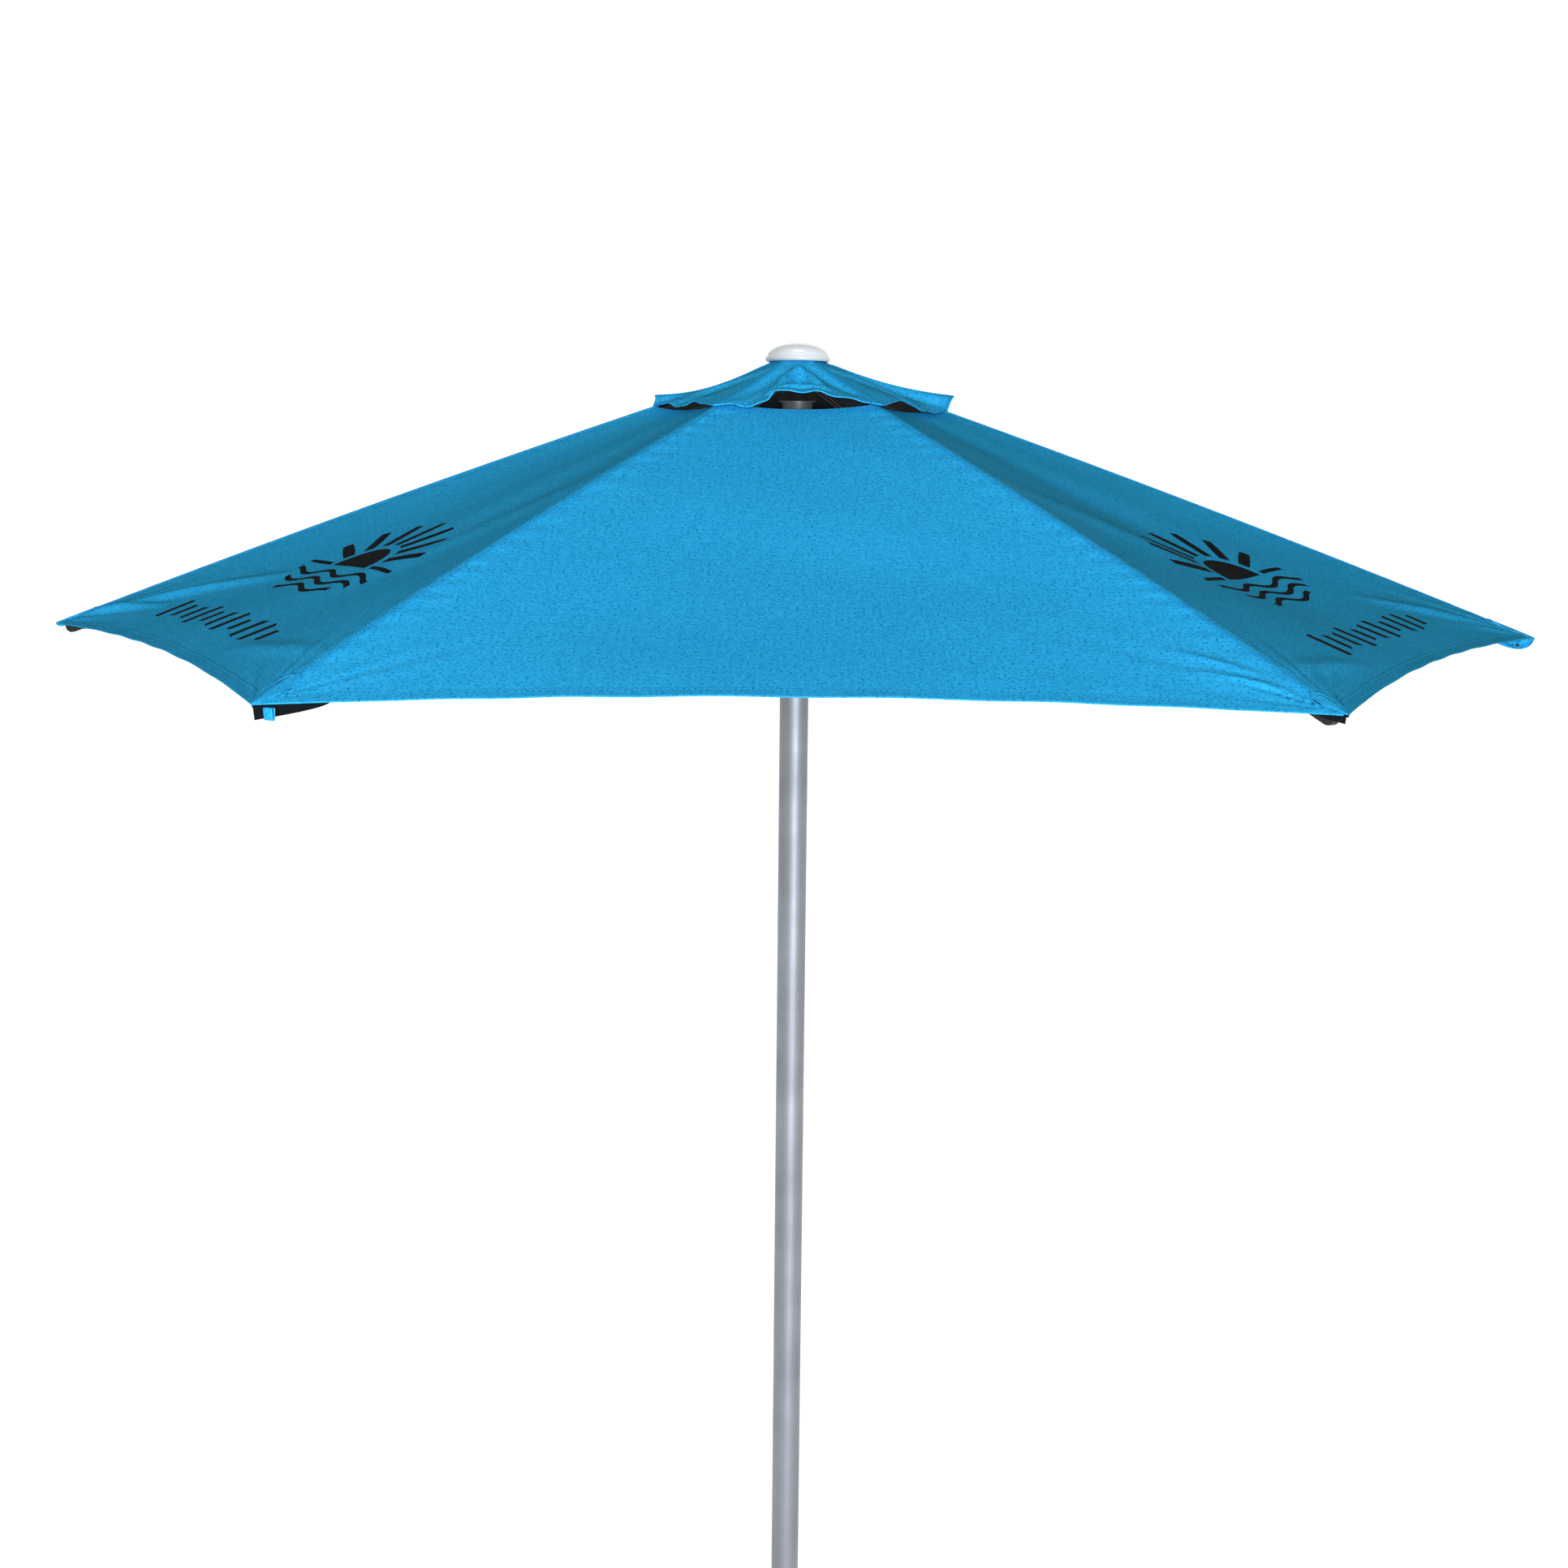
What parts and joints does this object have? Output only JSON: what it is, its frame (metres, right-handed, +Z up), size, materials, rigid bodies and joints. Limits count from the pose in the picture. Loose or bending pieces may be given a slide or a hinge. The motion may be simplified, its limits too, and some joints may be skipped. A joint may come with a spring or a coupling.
{
  "type": "beach umbrella",
  "caption": "Folding beach umbrella: hexagonal blue canopy with a raised vent flap and white finial on a straight aluminium pole, opened by a sliding runner and struts.",
  "frame": {"origin": "middle of the underside of the pole's foot", "axes": "+Z up the pole; -Y faces the middle of the front canopy panel; +X to the viewer's right of that panel"},
  "size_m": [1.9556, 1.6938, 2.272],
  "materials": {
    "canopy_cloth": "plain-weave polyester, matt with a faint sheen",
    "satin_aluminium": "satin anodised tube",
    "frame_paint": "dark grey powder coat",
    "finial_gloss": "smooth white moulding",
    "black_nylon": "moulded black nylon",
    "zinc_steel": "zinc-plated steel"
  },
  "bodies": {
    "root": {"pole": "satin_aluminium", "pole_foot": "black_nylon", "top_hub": "black_nylon", "hub_ring_wire": "zinc_steel", "finial": "finial_gloss", "finial_screw": "zinc_steel", "crown_washer": "black_nylon"},
    "rib_1_group": {"rib_1": "frame_paint", "rib_tip_1": "black_nylon", "strut_bracket_1": "frame_paint", "bracket_pin_1": "zinc_steel", "canopy_left_1": "canopy_cloth", "canopy_right_1": "canopy_cloth", "vent_flap_1": "canopy_cloth"},
    "rib_2_group": {"rib_2": "frame_paint", "rib_tip_2": "black_nylon", "strut_bracket_2": "frame_paint", "bracket_pin_2": "zinc_steel", "canopy_left_2": "canopy_cloth", "canopy_right_2": "canopy_cloth", "vent_flap_2": "canopy_cloth"},
    "rib_3_group": {"rib_3": "frame_paint", "rib_tip_3": "black_nylon", "strut_bracket_3": "frame_paint", "bracket_pin_3": "zinc_steel", "canopy_left_3": "canopy_cloth", "canopy_right_3": "canopy_cloth", "vent_flap_3": "canopy_cloth"},
    "rib_4_group": {"rib_4": "frame_paint", "rib_tip_4": "black_nylon", "strut_bracket_4": "frame_paint", "bracket_pin_4": "zinc_steel", "canopy_left_4": "canopy_cloth", "canopy_right_4": "canopy_cloth", "vent_flap_4": "canopy_cloth"},
    "rib_5_group": {"rib_5": "frame_paint", "rib_tip_5": "black_nylon", "strut_bracket_5": "frame_paint", "bracket_pin_5": "zinc_steel", "canopy_left_5": "canopy_cloth", "canopy_right_5": "canopy_cloth", "vent_flap_5": "canopy_cloth"},
    "rib_6_group": {"rib_6": "frame_paint", "rib_tip_6": "black_nylon", "strut_bracket_6": "frame_paint", "bracket_pin_6": "zinc_steel", "canopy_left_6": "canopy_cloth", "canopy_right_6": "canopy_cloth", "vent_flap_6": "canopy_cloth"},
    "strut_1_link": {"strut_1": "frame_paint"},
    "strut_2_link": {"strut_2": "frame_paint"},
    "strut_3_link": {"strut_3": "frame_paint"},
    "strut_4_link": {"strut_4": "frame_paint"},
    "strut_5_link": {"strut_5": "frame_paint"},
    "strut_6_link": {"strut_6": "frame_paint"},
    "runner_group": {"runner": "black_nylon", "runner_ring_wire": "zinc_steel"},
    "clamp_group": {"clamp_knob": "black_nylon", "clamp_screw": "zinc_steel"}
  },
  "joints": [
    {"name": "canopy_fold", "type": "hinge", "parent": "root", "child": "rib_1_group", "pos_m": [0.017, -0.02944, 2.2257], "axis": [0.866, 0.5, 0], "range_deg": [0, 67.5], "deforming": ["canopy_left_1", "canopy_right_1", "vent_flap_1"]},
    {"name": "rib_2_fold", "type": "hinge", "parent": "root", "child": "rib_2_group", "pos_m": [0.034, 0, 2.2257], "axis": [0, 1, 0], "range_deg": [0, 67.5], "deforming": ["canopy_left_2", "canopy_right_2", "vent_flap_2"]},
    {"name": "rib_3_fold", "type": "hinge", "parent": "root", "child": "rib_3_group", "pos_m": [0.017, 0.02944, 2.2257], "axis": [-0.866, 0.5, 0], "range_deg": [0, 67.5], "deforming": ["canopy_left_3", "canopy_right_3", "vent_flap_3"]},
    {"name": "rib_4_fold", "type": "hinge", "parent": "root", "child": "rib_4_group", "pos_m": [-0.017, 0.02944, 2.2257], "axis": [-0.866, -0.5, 0], "range_deg": [0, 67.5], "deforming": ["canopy_left_4", "canopy_right_4", "vent_flap_4"]},
    {"name": "rib_5_fold", "type": "hinge", "parent": "root", "child": "rib_5_group", "pos_m": [-0.034, 0, 2.2257], "axis": [0, -1, 0], "range_deg": [0, 67.5], "deforming": ["canopy_left_5", "canopy_right_5", "vent_flap_5"]},
    {"name": "rib_6_fold", "type": "hinge", "parent": "root", "child": "rib_6_group", "pos_m": [-0.017, -0.02944, 2.2257], "axis": [0.866, -0.5, 0], "range_deg": [0, 67.5], "deforming": ["canopy_left_6", "canopy_right_6", "vent_flap_6"]},
    {"name": "strut_1_turn", "type": "hinge", "parent": "rib_1_group", "child": "strut_1_link", "pos_m": [0.23188, -0.40162, 2.0614], "axis": [0.866, 0.5, 0], "range_deg": [-135, 0]},
    {"name": "strut_2_turn", "type": "hinge", "parent": "rib_2_group", "child": "strut_2_link", "pos_m": [0.46375, 0, 2.0614], "axis": [0, 1, 0], "range_deg": [-135, 0]},
    {"name": "strut_3_turn", "type": "hinge", "parent": "rib_3_group", "child": "strut_3_link", "pos_m": [0.23188, 0.40162, 2.0614], "axis": [-0.866, 0.5, 0], "range_deg": [-135, 0]},
    {"name": "strut_4_turn", "type": "hinge", "parent": "rib_4_group", "child": "strut_4_link", "pos_m": [-0.23188, 0.40162, 2.0614], "axis": [-0.866, -0.5, 0], "range_deg": [-135, 0]},
    {"name": "strut_5_turn", "type": "hinge", "parent": "rib_5_group", "child": "strut_5_link", "pos_m": [-0.46375, 0, 2.0614], "axis": [0, -1, 0], "range_deg": [-135, 0]},
    {"name": "strut_6_turn", "type": "hinge", "parent": "rib_6_group", "child": "strut_6_link", "pos_m": [-0.23188, -0.40162, 2.0614], "axis": [0.866, -0.5, 0], "range_deg": [-135, 0]},
    {"name": "runner_on_strut_1", "type": "hinge", "parent": "strut_1_link", "child": "runner_group", "pos_m": [0.017, -0.02944, 1.8971], "axis": [0.866, 0.5, 0], "range_deg": [0, 67.5]},
    {"name": "clamp_turn", "type": "hinge", "parent": "runner_group", "child": "clamp_group", "pos_m": [0, 0.034, 1.8601], "axis": [0, 1, 0], "range_deg": [0, 360]}
  ],
  "couplings": [
    {"joint": "rib_2_fold", "follows": "canopy_fold", "ratio": 1},
    {"joint": "rib_3_fold", "follows": "canopy_fold", "ratio": 1},
    {"joint": "rib_4_fold", "follows": "canopy_fold", "ratio": 1},
    {"joint": "rib_5_fold", "follows": "canopy_fold", "ratio": 1},
    {"joint": "rib_6_fold", "follows": "canopy_fold", "ratio": 1},
    {"joint": "strut_1_turn", "follows": "canopy_fold", "ratio": -2},
    {"joint": "strut_2_turn", "follows": "canopy_fold", "ratio": -2},
    {"joint": "strut_3_turn", "follows": "canopy_fold", "ratio": -2},
    {"joint": "strut_4_turn", "follows": "canopy_fold", "ratio": -2},
    {"joint": "strut_5_turn", "follows": "canopy_fold", "ratio": -2},
    {"joint": "strut_6_turn", "follows": "canopy_fold", "ratio": -2},
    {"joint": "runner_on_strut_1", "follows": "canopy_fold", "ratio": 1}
  ]
}
